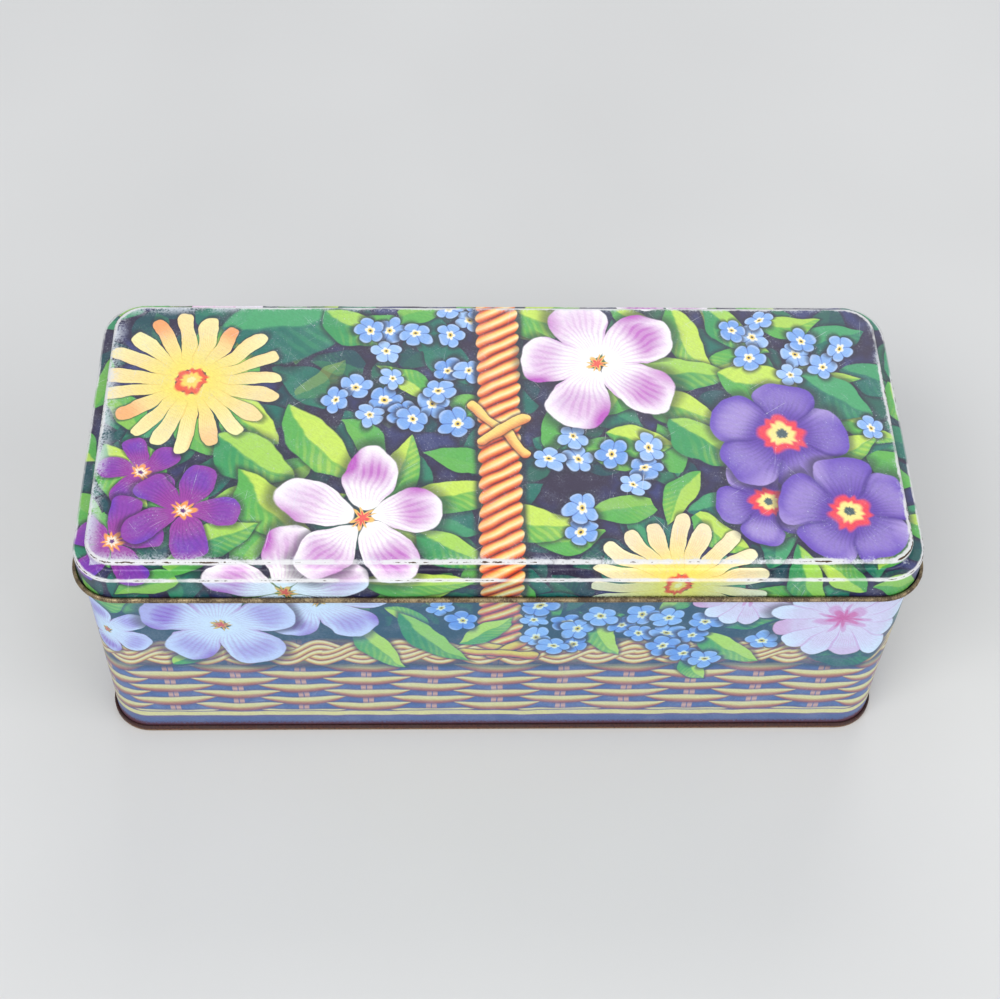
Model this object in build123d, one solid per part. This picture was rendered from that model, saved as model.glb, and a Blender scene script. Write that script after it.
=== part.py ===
from build123d import *
import os

# Long rectangular tin of printed tinplate with a lift-off slip lid, in millimetres.
# Three pressings: a wrapped body with a lock seam, a base double-seamed to it, and a drawn lid.
# The origin is at the middle of the tin, on the surface it stands on. +X runs along the tin,
# +Y points to its back, where the lock seam is, and +Z points up.

# Driving dimensions
LENGTH = 280.0           # over the lid's skirt
WIDTH = 120.0            # over the lid's skirt
HEIGHT = 102.5           # from the table to the lid's flat top
CORNER_RADIUS = 14.4     # outside of the lid's skirt
SHEET = 0.3              # tinplate, with its print and lacquer
GAP = 0.05               # between layers that are rolled or hooked together

# Lid
LEDGE_WIDTH = 4.4        # skirt to the foot of the raised top
STEP_HEIGHT = 4.0        # ledge to the flat top
SKIRT_DEPTH = 10.2       # ledge to the middle of the outward curl
LID_CURL_DIAMETER = 2.0
TOP_EDGE_RADIUS = 1.1    # outer bend between the step and the flat top
STEP_FOOT_RADIUS = 0.8   # inner bend between the ledge and the step
SHOULDER_RADIUS = 1.0    # outer bend between the skirt and the ledge

# Body wall
WALL_INSET = 1.1         # lid's skirt to the outside of the wall
WALL_CURL_DIAMETER = 1.8

# Double seam at the base
SEAM_HEIGHT = 3.0
BODY_HOOK_TOP = 2.2
COVER_HOOK_FOOT = 1.4
BASE_PANEL_LIFT = 3.2    # table to the underside of the recessed panel
BASE_PANEL_RADIUS = 0.8
SEAM_BEND_RADIUS = 0.5   # middle of the sheet, at the foot of the double seam
HOOK_BEND_RADIUS = 0.25  # middle of the sheet, at each hook's fold

# Lock seam down the middle of the back
LOCK_HOOK_LENGTH = 4.0
LOCK_SEAM_HALF_SPAN = 5.0   # where the plain wall starts again, each side
LOCK_SEAM_FOOT = 4.6
LOCK_SEAM_TOP = 95.4

# Worked-out places
HALF_SHEET = SHEET / 2
LAYER = SHEET + GAP                      # pitch of layers that are folded together
LEDGE_TOP = HEIGHT - STEP_HEIGHT
CORNER_X = LENGTH / 2 - CORNER_RADIUS    # the four corner axes stand at (+-CORNER_X, +-CORNER_Y)
CORNER_Y = WIDTH / 2 - CORNER_RADIUS
FLAT_INSET = 9.0                         # where a swept rim stops and the flat panel begins


def at(inset, height):
    """Section point that lies `inset` inside the lid's skirt, seen from a corner axis."""
    return (CORNER_RADIUS - inset, height)


def strip(centre_line):
    """Section of one sheet, with its own thickness, along a centre line."""
    return make_face(Wire(centre_line.edges()).offset_2d(HALF_SHEET, side=Side.BOTH))


def sweep_round(section):
    """Solid of a section carried once round the tin: four turned corners and four straight runs."""
    upright = Plane.XZ * section
    corner = revolve(upright, Axis.Z, revolution_arc=90)
    solid = None
    for quarter in range(4):
        along_side = quarter % 2 == 0
        out, half_run = (CORNER_X, CORNER_Y) if along_side else (CORNER_Y, CORNER_X)
        turn = Rot(0, 0, 90 * quarter)
        run = Pos(out, -half_run, 0) * extrude(upright, 2 * half_run, dir=(0, 1, 0))
        bend = Pos(out, half_run, 0) * corner
        pair = turn * (run + bend)
        solid = pair if solid is None else solid + pair
    return solid


def flat_panel(underside):
    """Flat middle of a pressed panel, reaching out to the swept rim."""
    outline = RectangleRounded(LENGTH - 2 * FLAT_INSET, WIDTH - 2 * FLAT_INSET, CORNER_RADIUS - FLAT_INSET)
    return Pos(0, 0, underside) * extrude(outline, SHEET)


def build_lid():
    """Raised top, step, ledge and skirt, with the lower edge rolled outwards into a curl."""
    curl_radius = (LID_CURL_DIAMETER - SHEET) / 2
    curl_height = LEDGE_TOP - SKIRT_DEPTH
    step_inset = LEDGE_WIDTH + HALF_SHEET
    profile = FilletPolyline(
        at(FLAT_INSET, HEIGHT - HALF_SHEET),
        at(step_inset, HEIGHT - HALF_SHEET),
        at(step_inset, LEDGE_TOP - HALF_SHEET),
        at(HALF_SHEET, LEDGE_TOP - HALF_SHEET),
        at(HALF_SHEET, curl_height),
        radius=[TOP_EDGE_RADIUS - HALF_SHEET, STEP_FOOT_RADIUS + HALF_SHEET, SHOULDER_RADIUS - HALF_SHEET],
    )
    curl = JernArc(at(HALF_SHEET, curl_height), (0, -1), curl_radius, 285)
    return sweep_round(strip(profile + curl)) + flat_panel(HEIGHT - SHEET)


def lock_seam():
    """Two hooked edges of the wrapped sheet, four layers thick, standing in from the wall's face."""
    outer, second, third, inner = [-(HALF_SHEET + LAYER * layer) for layer in range(4)]
    reach = LOCK_HOOK_LENGTH / 2
    short = reach - 2 * LAYER
    left_hook = FilletPolyline(
        (-LOCK_SEAM_HALF_SPAN, outer),
        (reach, outer),
        (reach, third),
        (-short, third),
        radius=HOOK_BEND_RADIUS,
    )
    right_hook = FilletPolyline(
        (LOCK_SEAM_HALF_SPAN, outer),
        (reach + 4 * LAYER, outer),
        (reach + LAYER, inner),
        (-reach, inner),
        (-reach, second),
        (short, second),
        radius=HOOK_BEND_RADIUS,
    )
    face_of_wall = Pos(0, WIDTH / 2 - WALL_INSET, LOCK_SEAM_FOOT)
    height = LOCK_SEAM_TOP - LOCK_SEAM_FOOT
    return [face_of_wall * extrude(strip(hook), height, dir=(0, 0, 1)) for hook in (left_hook, right_hook)]


def build_body_wall():
    """Wrapped sheet: top edge curled in under the lid, back lock seam, lower edge hooked outwards."""
    wall = WALL_INSET + HALF_SHEET
    hook = WALL_INSET - 1.5 * SHEET - 2 * GAP
    foot = HALF_SHEET + LAYER
    rim_top = LEDGE_TOP - SHEET - GAP
    curl_radius = (WALL_CURL_DIAMETER - SHEET) / 2
    curl_height = rim_top - WALL_CURL_DIAMETER / 2
    profile = FilletPolyline(
        at(hook, BODY_HOOK_TOP),
        at(hook, foot),
        at(wall, foot),
        at(wall, curl_height),
        radius=HOOK_BEND_RADIUS,
    )
    curl = JernArc(at(wall, curl_height), (0, 1), curl_radius, 285)
    body = sweep_round(strip(profile + curl))
    seam_height = LOCK_SEAM_TOP - LOCK_SEAM_FOOT
    window = Pos(0, WIDTH / 2 - wall, LOCK_SEAM_FOOT + seam_height / 2) * Box(
        2 * LOCK_SEAM_HALF_SPAN, 2 * SHEET, seam_height
    )
    body = body - window
    for hooked_edge in lock_seam():
        body = body + hooked_edge
    return body


def build_base_panel():
    """Recessed base: chuck wall inside the body, then rolled round and over the body hook."""
    chuck_wall = WALL_INSET + SHEET + GAP + HALF_SHEET
    cover_hook = WALL_INSET - GAP - HALF_SHEET
    seaming_wall = cover_hook - 2 * LAYER
    profile = FilletPolyline(
        at(FLAT_INSET, BASE_PANEL_LIFT + HALF_SHEET),
        at(chuck_wall, BASE_PANEL_LIFT + HALF_SHEET),
        at(chuck_wall, HALF_SHEET),
        at(seaming_wall, HALF_SHEET),
        at(seaming_wall, SEAM_HEIGHT - HALF_SHEET),
        at(cover_hook, SEAM_HEIGHT - HALF_SHEET),
        at(cover_hook, COVER_HOOK_FOOT),
        radius=[BASE_PANEL_RADIUS, SEAM_BEND_RADIUS, SEAM_BEND_RADIUS, HOOK_BEND_RADIUS, HOOK_BEND_RADIUS],
    )
    return sweep_round(strip(profile)) + flat_panel(BASE_PANEL_LIFT)


os.makedirs("parts", exist_ok=True)
for node, solid in (
    ("body_wall", build_body_wall()),
    ("base_panel", build_base_panel()),
    ("lid", build_lid()),
):
    export_step(solid, f"parts/{node}.step")
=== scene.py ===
"""Long printed tin with a lift-off slip lid: sheet-metal meshes, printed and worn finishes, a plain studio.

Lengths in the shape and print sections are millimetres; meshes are scaled to metres when they are made.
Print coordinates are the flat sheet's own: x along the tin, y across the lid or up the wall.
"""
import math
import random

import bmesh
import bpy
from mathutils import Euler, Matrix, Vector, noise


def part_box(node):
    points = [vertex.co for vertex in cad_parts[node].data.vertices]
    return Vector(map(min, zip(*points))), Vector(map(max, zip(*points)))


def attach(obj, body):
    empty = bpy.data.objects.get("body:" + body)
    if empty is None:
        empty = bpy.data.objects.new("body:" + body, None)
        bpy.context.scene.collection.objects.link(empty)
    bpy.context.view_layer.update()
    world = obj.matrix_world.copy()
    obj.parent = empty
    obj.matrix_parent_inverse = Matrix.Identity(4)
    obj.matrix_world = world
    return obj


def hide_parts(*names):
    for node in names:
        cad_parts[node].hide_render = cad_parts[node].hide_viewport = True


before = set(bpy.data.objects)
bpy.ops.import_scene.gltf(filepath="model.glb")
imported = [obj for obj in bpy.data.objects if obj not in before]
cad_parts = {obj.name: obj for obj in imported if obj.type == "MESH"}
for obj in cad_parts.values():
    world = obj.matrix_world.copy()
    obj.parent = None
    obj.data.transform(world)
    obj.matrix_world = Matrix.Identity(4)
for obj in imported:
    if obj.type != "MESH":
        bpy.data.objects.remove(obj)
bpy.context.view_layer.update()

MM = 0.001

# ---------------------------------------------------------------- sizes

SHEET = 0.3              # tinplate, with its print and lacquer
GAP = 0.05               # between layers that are rolled together
HALF_SHEET = SHEET / 2
LAYER = SHEET + GAP
LID_CURL_DIAMETER = 2.0
WALL_CURL_DIAMETER = 1.8
CURL_SWEEP = math.radians(285)
CORNER_RADIUS = 14.4
LEDGE_WIDTH = 4.4        # skirt to the foot of the raised top
STEP_HEIGHT = 4.0        # ledge to the flat top
SKIRT_DEPTH = 10.2       # ledge to the middle of the lid's curl
TOP_EDGE_RADIUS = 1.1
STEP_FOOT_RADIUS = 0.8
SHOULDER_RADIUS = 1.0
WALL_INSET = 1.1         # skirt to the outside of the wall
BODY_HOOK_TOP = 2.2
COVER_HOOK_FOOT = 1.4
HOOK_BEND_RADIUS = 0.25
SEAM_HEIGHT = 3.0
SEAM_BEND_RADIUS = 0.5
PANEL_LIFT = 3.2         # table to the underside of the recessed panel
PANEL_RADIUS = 0.8

lid_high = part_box("lid")[1] / MM
HEIGHT = lid_high.z
HALF_LENGTH = lid_high.x - (LID_CURL_DIAMETER - SHEET)
HALF_WIDTH = lid_high.y - (LID_CURL_DIAMETER - SHEET)
ROUNDING = 6                                             # decimals, so that places worked out twice are equal
AXIS_X = round(HALF_LENGTH - CORNER_RADIUS, ROUNDING)    # the corner axes stand at (+-AXIS_X, +-AXIS_Y)
AXIS_Y = round(HALF_WIDTH - CORNER_RADIUS, ROUNDING)
LEDGE_TOP = HEIGHT - STEP_HEIGHT
LID_FOOT = LEDGE_TOP - SKIRT_DEPTH
WALL_RADIUS = CORNER_RADIUS - WALL_INSET
CORNER_RUN = WALL_RADIUS * math.pi / 2
HALF_ROUND = 2 * AXIS_X + 2 * AXIS_Y + 2 * CORNER_RUN     # half of the way round the wall


# ---------------------------------------------------------------- sheet profiles

BEND_STEPS = 8
CURL_STEPS = 22
EDGE_STEP = 0.35     # a short step beside each bend, so that the bend shades cleanly


def straight_run(start, end, longest):
    """Points after `start` up to `end`, no further apart than `longest`."""
    span = end - start
    length = span.length
    if length < 1e-6:
        return []
    edge_step = min(EDGE_STEP, length / 3)
    places = [edge_step]
    middle = length - 2 * edge_step
    steps = max(1, math.ceil(middle / longest))
    places += [edge_step + middle * step / steps for step in range(1, steps + 1)]
    places.append(length)
    return [start + span * (place / length) for place in places]


def turned(vector, angle):
    """A 2-D vector turned anticlockwise."""
    cosine, sine = math.cos(angle), math.sin(angle)
    return Vector((vector.x * cosine - vector.y * sine, vector.x * sine + vector.y * cosine))


def arc(centre, start, turn, steps):
    """Points after `start` on its way round a centre."""
    return [centre + turned(start - centre, turn * step / steps) for step in range(1, steps + 1)]


def bent_line(corners, radii, longest, curl_radius=0):
    """Middle of the sheet through (inset, height) corners, each bent to its radius, then perhaps curled."""
    points = [Vector((-inset, height)) for inset, height in corners]
    line = [points[0]]
    for before, corner, after, radius in zip(points, points[1:], points[2:], radii):
        arriving = (corner - before).normalized()
        leaving = (after - corner).normalized()
        turn = math.atan2(arriving.x * leaving.y - arriving.y * leaving.x, arriving.dot(leaving))
        tangent = radius * math.tan(abs(turn) / 2)
        side = math.copysign(1, turn)
        start = corner - arriving * tangent
        centre = start + turned(arriving, side * math.pi / 2) * radius
        line += straight_run(line[-1], start, longest)
        line += arc(centre, start, turn, BEND_STEPS)
    line += straight_run(line[-1], points[-1], longest)
    if curl_radius:
        start = line[-1]
        heading = (points[-1] - points[-2]).normalized()
        centre = start + turned(heading, math.pi / 2) * curl_radius
        line += arc(centre, start, CURL_SWEEP, CURL_STEPS)
    return line


def sheet_rows(line, print_side):
    """Rows of the sheet's two faces: (out, height, way along the sheet), printed face first."""
    along = [0.0]
    for before, after in zip(line, line[1:]):
        along.append(along[-1] + (after - before).length)
    faces = ([], [])
    for place, point in enumerate(line):
        ahead = line[min(place + 1, len(line) - 1)] - line[max(place - 1, 0)]
        normal = turned(ahead.normalized(), print_side * math.pi / 2)
        for rows, side in zip(faces, (1, -1)):
            moved = point + normal * (side * HALF_SHEET)
            rows.append((moved.x, moved.y, along[place]))
    return faces


LID_LINE = bent_line(
    [
        (CORNER_RADIUS, HEIGHT - HALF_SHEET),
        (LEDGE_WIDTH + HALF_SHEET, HEIGHT - HALF_SHEET),
        (LEDGE_WIDTH + HALF_SHEET, LEDGE_TOP - HALF_SHEET),
        (HALF_SHEET, LEDGE_TOP - HALF_SHEET),
        (HALF_SHEET, LID_FOOT),
    ],
    radii=[TOP_EDGE_RADIUS - HALF_SHEET, STEP_FOOT_RADIUS + HALF_SHEET, SHOULDER_RADIUS - HALF_SHEET],
    longest=2.0,
    curl_radius=(LID_CURL_DIAMETER - SHEET) / 2,
)
LID_FACES = sheet_rows(LID_LINE, print_side=1)

WALL_MIDDLE = WALL_INSET + HALF_SHEET
HOOK_MIDDLE = WALL_INSET - 1.5 * SHEET - 2 * GAP
WALL_RIM = LEDGE_TOP - SHEET - GAP
WALL_FOOT = HALF_SHEET + LAYER
WALL_LINE = bent_line(
    [
        (HOOK_MIDDLE, BODY_HOOK_TOP),
        (HOOK_MIDDLE, WALL_FOOT),
        (WALL_MIDDLE, WALL_FOOT),
        (WALL_MIDDLE, WALL_RIM - WALL_CURL_DIAMETER / 2),
    ],
    radii=[HOOK_BEND_RADIUS] * 2,
    longest=3.0,
    curl_radius=(WALL_CURL_DIAMETER - SHEET) / 2,
)
WALL_FACES = sheet_rows(WALL_LINE, print_side=-1)

CHUCK_MIDDLE = WALL_INSET + SHEET + GAP + HALF_SHEET
COVER_MIDDLE = WALL_INSET - GAP - HALF_SHEET
SEAMING_MIDDLE = COVER_MIDDLE - 2 * LAYER
BASE_LINE = bent_line(
    [
        (CORNER_RADIUS, PANEL_LIFT + HALF_SHEET),
        (CHUCK_MIDDLE, PANEL_LIFT + HALF_SHEET),
        (CHUCK_MIDDLE, HALF_SHEET),
        (SEAMING_MIDDLE, HALF_SHEET),
        (SEAMING_MIDDLE, SEAM_HEIGHT - HALF_SHEET),
        (COVER_MIDDLE, SEAM_HEIGHT - HALF_SHEET),
        (COVER_MIDDLE, COVER_HOOK_FOOT),
    ],
    radii=[PANEL_RADIUS, SEAM_BEND_RADIUS, SEAM_BEND_RADIUS, HOOK_BEND_RADIUS, HOOK_BEND_RADIUS],
    longest=2.5,
)
BASE_FACES = sheet_rows(BASE_LINE, print_side=-1)


# ---------------------------------------------------------------- places round the tin

def even_places(half, spacing):
    """Evenly spaced places from -half to half, with one at 0."""
    steps = 2 * math.ceil(half / spacing)
    return [round(-half + 2 * half * step / steps, ROUNDING) for step in range(steps + 1)]


SPACING = 3.0
LONG_PLACES = even_places(AXIS_X, SPACING)
SHORT_PLACES = even_places(AXIS_Y, SPACING)
CORNER_STEPS = 12


def stations(extra_back=()):
    """Places round the rounded rectangle, anticlockwise from the middle of the back.

    Each is (axis x, axis y, direction, way round), and the way round is 0 at the middle of the front.
    """
    back = sorted(set(LONG_PLACES) | set(extra_back), reverse=True)
    runs = (
        (90, [(x, AXIS_Y) for x in back if x <= 0]),
        (180, [(-AXIS_X, y) for y in reversed(SHORT_PLACES)]),
        (270, [(x, -AXIS_Y) for x in LONG_PLACES]),
        (360, [(AXIS_X, y) for y in SHORT_PLACES]),
        (450, [(x, AXIS_Y) for x in back if x > 0]),
    )
    places = []
    way = -HALF_ROUND
    last = None
    for heading, points in runs:
        if places:
            for step in range(1, CORNER_STEPS):
                share = step / CORNER_STEPS
                places.append((*last, math.radians(heading - 90 + 90 * share), way + CORNER_RUN * share))
            way += CORNER_RUN
            last = None
        for point in points:
            if last is not None:
                way += math.hypot(point[0] - last[0], point[1] - last[1])
            last = point
            places.append((*point, math.radians(heading), way))
    return places


def corner_share(direction):
    """0 on the straight sides, 1 in the middle of a corner."""
    return abs(math.sin(2 * direction))


# ---------------------------------------------------------------- dents

def soft_noise(x, y, size, seed):
    """Smooth noise between about -1 and 1, with features of the given size."""
    return noise.noise(Vector((x / size, y / size, seed)))


def smooth_step(low, high, value):
    share = min(1.0, max(0.0, (value - low) / (high - low)))
    return share * share * (3 - 2 * share)


def from_skirt(x, y):
    """How far a place lies inside the skirt's straight sides."""
    return min(HALF_LENGTH - abs(x), HALF_WIDTH - abs(y))


def moved_in(point, direction, inward):
    """A point moved towards the tin's inside, against an outward direction."""
    x, y, z = point
    return Vector((x - inward * math.cos(direction), y - inward * math.sin(direction), z))


# Dents in the lid's top, as (x, y, size, depth)
DENTS = (
    (-92, 34, 26, 0.35), (-18, -30, 30, 0.3), (62, 12, 34, 0.4), (112, 30, 20, 0.25), (-122, -30, 18, 0.25),
)
TOP_RIM = 3                # stays level inside the raised top's edge
TOP_FADE = 22              # over which the sag sets in
TOP_SAG = 0.28
TOP_UNEVENNESS = 0.22
SKIRT_RIM = 2              # stays straight below the ledge
SKIRT_FADE = 4
SKIRT_WAVE = 0.12
QUARTER_TURN = 1.57        # radians, near enough to place the waves


def lid_shape(point, direction, _):
    """Sags and dents of the lid's flat top, and a slight wave in its skirt."""
    x, y, z = point
    inside = from_skirt(x, y) - LEDGE_WIDTH - TOP_RIM
    if inside > 0:
        depth = TOP_SAG + TOP_UNEVENNESS * soft_noise(x, y, size=60, seed=3.1)
        for dent_x, dent_y, size, dent in DENTS:
            away = math.hypot(x - dent_x, y - dent_y) / size
            depth += dent * math.exp(-4 * away * away)
        return Vector((x, y, z - depth * smooth_step(0, TOP_FADE, inside)))
    if z < LEDGE_TOP - SKIRT_RIM:
        sideways = direction + QUARTER_TURN
        way = x * math.cos(sideways) + y * math.sin(sideways)
        fade = min(1.0, (LEDGE_TOP - SKIRT_RIM - z) / SKIRT_FADE)
        wave = abs(soft_noise(way, z * 0.4, size=34, seed=8.7))
        return moved_in(point, direction, SKIRT_WAVE * wave * fade)
    return point


LOCK_FOOT = 4.6
LOCK_TOP = 95.4
LOCK_HALF = 2.1
LOCK_GROOVE = 2.65         # where the sheet's outer edge dips into the seam
LOCK_GROOVE_DEPTH = 0.75
LOCK_GROOVE_WIDTH = 0.42
LOCK_SEAM_WAY = HALF_ROUND - LOCK_GROOVE
WALL_SAG = 0.32
WALL_UNEVENNESS = 0.3
FREE_ABOVE = (6, 24)       # heights over which the wall comes free of its stiff seam
FREE_BELOW = (94, 70)      # and of its stiff curl


def wall_shape(point, direction, printed_face):
    """Shallow waves in the wall, and the folded lock seam down the middle of the back."""
    x, y, z = point
    free = smooth_step(*FREE_ABOVE, z) * smooth_step(*FREE_BELOW, z)
    side = 2 * x if abs(math.cos(direction)) < 0.5 else 2 * y
    inward = free * (WALL_SAG + WALL_UNEVENNESS * soft_noise(side + 40 * direction, z, size=46, seed=5.3))
    on_back = math.sin(direction) > 0.999
    if on_back:
        ends = smooth_step(LOCK_FOOT, LOCK_FOOT + 1, z) * smooth_step(LOCK_TOP, LOCK_TOP - 1, z)
        if printed_face:
            inward += LOCK_GROOVE_DEPTH * ends * math.exp(-(((x - LOCK_GROOVE) / LOCK_GROOVE_WIDTH) ** 2))
        else:
            rib = smooth_step(-LOCK_HALF - 0.4, -LOCK_HALF, x)
            rib *= smooth_step(LOCK_HALF + 1.2, LOCK_HALF + 0.3, x)
            inward += 3 * LAYER * ends * rib
    return moved_in(point, direction, inward)


BASE_RIM = 8
BASE_FADE = 20
BASE_UNEVENNESS = 0.25


def base_shape(point, *_):
    """Slight unevenness of the recessed panel."""
    x, y, z = point
    inside = from_skirt(x, y) - BASE_RIM
    if inside <= 0:
        return point
    lift = BASE_UNEVENNESS * (1 + soft_noise(x, y, size=50, seed=1.7))
    return Vector((x, y, z + min(1.0, inside / BASE_FADE) * lift))


# ---------------------------------------------------------------- sheet meshes

class SheetMesh:
    """A thin pressing swept round the tin, with its printed and its plain face, and their print maps."""

    def __init__(self, faces, places, shape, on_panel, print_height=0.0, tile_at=None, tiles=1):
        self.faces = faces
        self.places = places
        self.shape = shape
        self.on_panel = on_panel            # True for a pressing with a flat middle, such as the lid
        self.print_height = print_height    # of the printed picture's foot, for a pressing without one
        self.tile_at = tile_at
        self.tiles = tiles      # materials on the printed face; the plain face has the one after them
        self.bm = bmesh.new()
        self.print_map = self.bm.loops.layers.uv.new("Print")
        self.sheet_map = self.bm.loops.layers.uv.new("Sheet")
        self.corner = self.bm.verts.layers.float.new("corner")

    def vertex(self, x, y, z, printed_face, direction):
        point = self.shape(Vector((x, y, z)), direction, printed_face)
        made = self.bm.verts.new(point * MM)
        made[self.corner] = corner_share(direction)
        return made

    def print_place(self, station, along):
        """Print coordinates of a place on the flat sheet."""
        x, y, direction, way = station
        if self.on_panel:
            return (x + along * math.cos(direction), y + along * math.sin(direction))
        return (way, along + self.print_height)

    def material_at(self, corners):
        """Number of the material for a printed face, from the middle of its print places."""
        if self.tile_at is None:
            return 0
        count = len(corners)
        x = sum(place[0] for _, place, _ in corners) / count
        y = sum(place[1] for _, place, _ in corners) / count
        return self.tile_at(x, y)

    def add_face(self, corners, flip, printed):
        """One face from (vertex, print place, sheet place) corners, skipping repeated vertices."""
        kept = []
        for corner in corners:
            if corner[0] not in [other[0] for other in kept]:
                kept.append(corner)
        if len(kept) < 3:
            return
        if flip:
            kept.reverse()
        face = self.bm.faces.new([corner[0] for corner in kept])
        face.smooth = True
        face.material_index = self.material_at(kept) if printed else self.tiles
        for loop, (_, print_place, sheet_place) in zip(face.loops, kept):
            loop[self.print_map].uv = print_place
            loop[self.sheet_map].uv = sheet_place

    def closed_places(self):
        """Pairs of neighbouring stations, the last one joined to the first."""
        first = self.places[0]
        last = (*first[:3], HALF_ROUND)
        ends = self.places[1:] + [last]
        count = len(self.places)
        return [(k, start, (k + 1) % count, end) for k, (start, end) in enumerate(zip(self.places, ends))]

    def panel_grid(self, height, printed_face):
        """Vertices of the flat middle, keyed by their place."""
        grid = {}
        for x in LONG_PLACES:
            for y in SHORT_PLACES:
                grid[(x, y)] = self.vertex(x, y, height, printed_face, 0.0)
        return grid

    def fill_panel(self, grid, flip, printed):
        for x0, x1 in zip(LONG_PLACES, LONG_PLACES[1:]):
            for y0, y1 in zip(SHORT_PLACES, SHORT_PLACES[1:]):
                corners = [(x0, y0), (x1, y0), (x1, y1), (x0, y1)]
                self.add_face([(grid[c], c, (0.0, 0.0)) for c in corners], flip, printed)

    def sweep(self, face_index, flip):
        """One face of the sheet, carried round the tin. Returns its first and last rows of vertices."""
        rows = self.faces[face_index]
        printed = face_index == 0
        vertex_rows = []
        if self.on_panel:
            grid = self.panel_grid(rows[0][1], printed)
            self.fill_panel(grid, flip, printed)
            vertex_rows.append([grid[(x, y)] for x, y, _, _ in self.places])
        for out, height, _ in rows[len(vertex_rows):]:
            reach = CORNER_RADIUS + out
            vertex_rows.append([
                self.vertex(x + reach * math.cos(turn), y + reach * math.sin(turn), height, printed, turn)
                for x, y, turn, _ in self.places
            ])
        levels = list(zip(rows, vertex_rows))
        for (lower, low_verts), (upper, high_verts) in zip(levels, levels[1:]):
            for k, start, after, end in self.closed_places():
                corners = [
                    self.corner_of(low_verts[k], start, lower[2]),
                    self.corner_of(high_verts[k], start, upper[2]),
                    self.corner_of(high_verts[after], end, upper[2]),
                    self.corner_of(low_verts[after], end, lower[2]),
                ]
                self.add_face(corners, flip, printed)
        return vertex_rows[0], vertex_rows[-1]

    def corner_of(self, vertex, station, along):
        return (vertex, self.print_place(station, along), (station[3], along))

    def cap(self, front, back, along, flip):
        """Cut edge of the sheet between its two faces."""
        for k, start, after, end in self.closed_places():
            corners = [
                self.corner_of(front[k], start, along),
                self.corner_of(front[after], end, along),
                self.corner_of(back[after], end, along),
                self.corner_of(back[k], start, along),
            ]
            self.add_face(corners, flip, False)

    def build(self, name, materials):
        front_start, front_end = self.sweep(0, flip=False)
        back_start, back_end = self.sweep(1, flip=True)
        self.cap(front_end, back_end, self.faces[0][-1][2], flip=False)
        if not self.on_panel:
            self.cap(front_start, back_start, 0.0, flip=True)
        bmesh.ops.recalc_face_normals(self.bm, faces=self.bm.faces)
        mesh = bpy.data.meshes.new(name)
        self.bm.to_mesh(mesh)
        self.bm.free()
        for material in materials:
            mesh.materials.append(material)
        return add_object(name, mesh)


# ---------------------------------------------------------------- shader arithmetic

def tint(red, green, blue):
    """A colour given in 0-255 display values, as the linear colour that shaders use."""
    linear = []
    for channel in (red, green, blue):
        share = channel / 255
        linear.append(share / 12.92 if share <= 0.04045 else ((share + 0.055) / 1.055) ** 2.4)
    return (*linear, 1.0)


class Num:
    """A number in a shader tree; arithmetic on it adds Math nodes."""

    def __init__(self, paint, socket):
        self.paint = paint
        self.socket = socket

    def __add__(self, other):
        return self.paint.math("ADD", self, other)

    __radd__ = __add__

    def __sub__(self, other):
        return self.paint.math("SUBTRACT", self, other)

    def __rsub__(self, other):
        return self.paint.math("SUBTRACT", other, self)

    def __mul__(self, other):
        return self.paint.math("MULTIPLY", self, other)

    __rmul__ = __mul__

    def __truediv__(self, other):
        return self.paint.math("DIVIDE", self, other)

    def __rtruediv__(self, other):
        return self.paint.math("DIVIDE", other, self)

    def __pow__(self, other):
        return self.paint.math("POWER", self, other)

    def __abs__(self):
        return self.paint.math("ABSOLUTE", self)


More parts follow.
